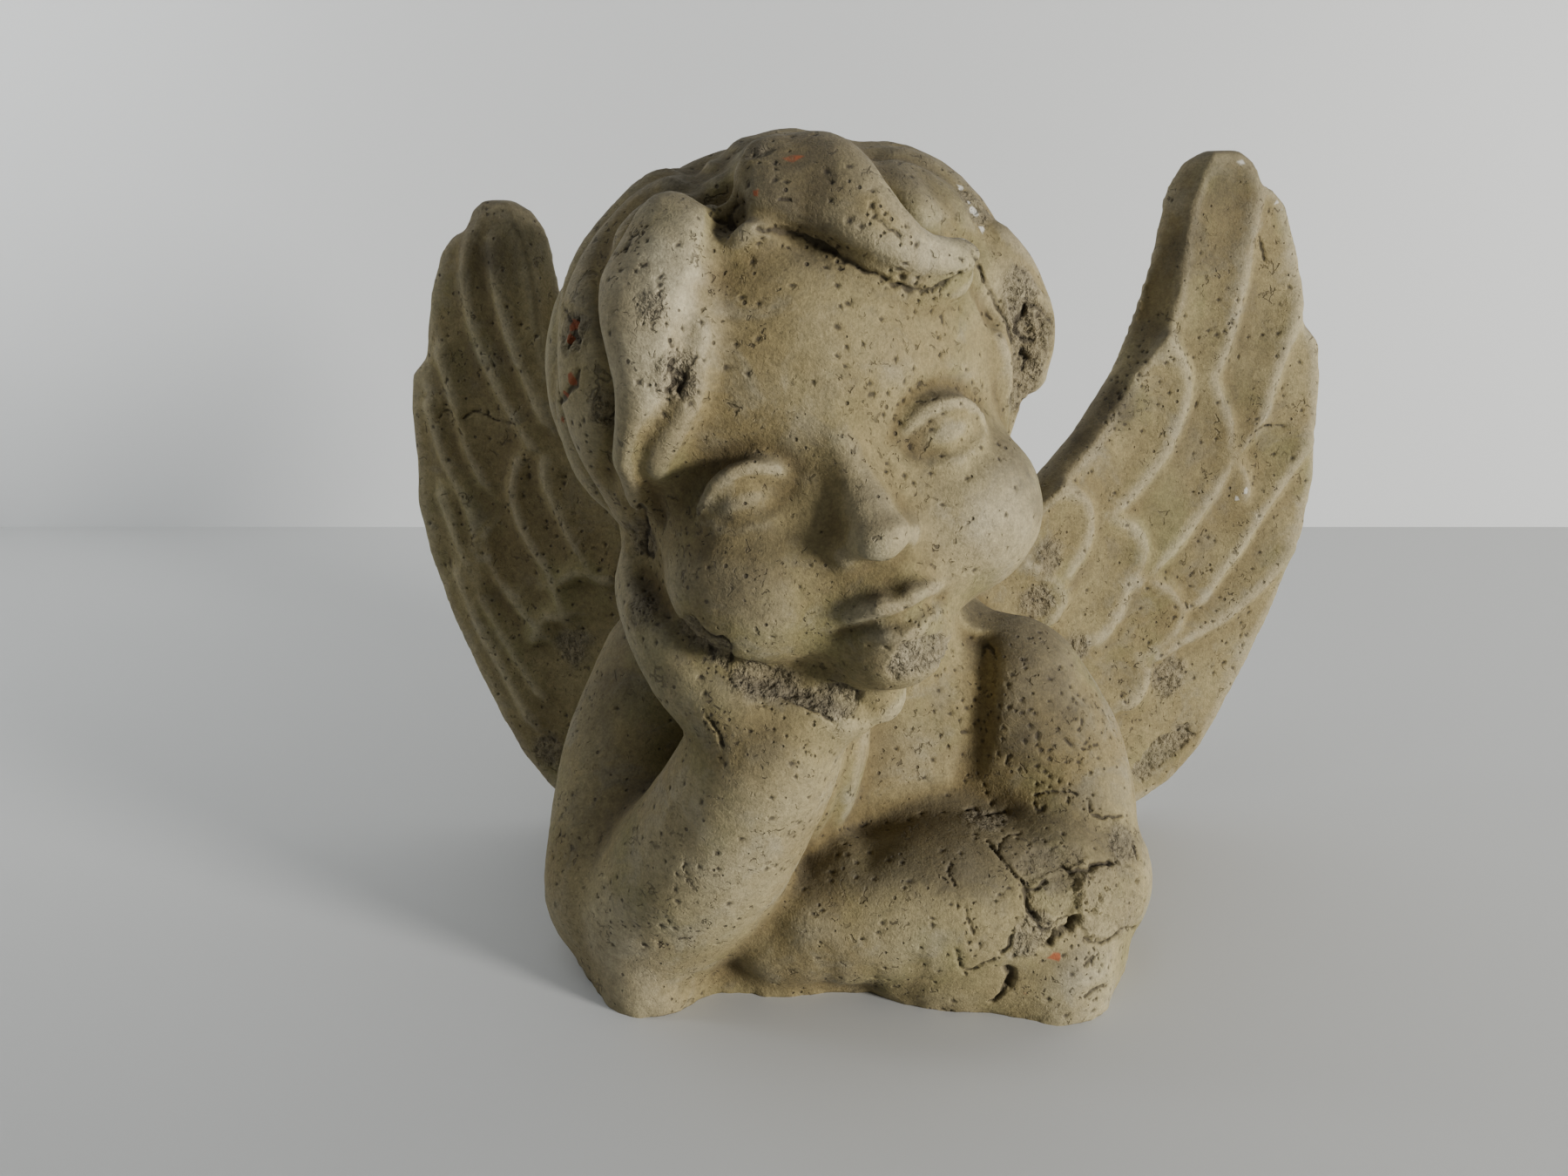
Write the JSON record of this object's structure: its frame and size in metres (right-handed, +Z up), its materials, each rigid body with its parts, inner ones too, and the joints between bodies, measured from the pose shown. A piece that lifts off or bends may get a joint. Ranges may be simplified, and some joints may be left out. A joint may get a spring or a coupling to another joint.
{
  "type": "winged cherub bust",
  "caption": "Cast concrete bust of a winged cherub that rests its cheek on one hand and stands by its own weight on a flat underside.",
  "frame": {"origin": "middle of the flat underside that the bust stands on", "axes": "+Z up, the figure faces -Y, +X on the viewer's right"},
  "size_m": [0.3301, 0.1746, 0.2484],
  "materials": {
    "concrete": "matt cast concrete, pitted, with brown and grey-green patina in the hollows"
  },
  "bodies": {
    "root": {"cherub_bust": "concrete"}
  },
  "joints": []
}
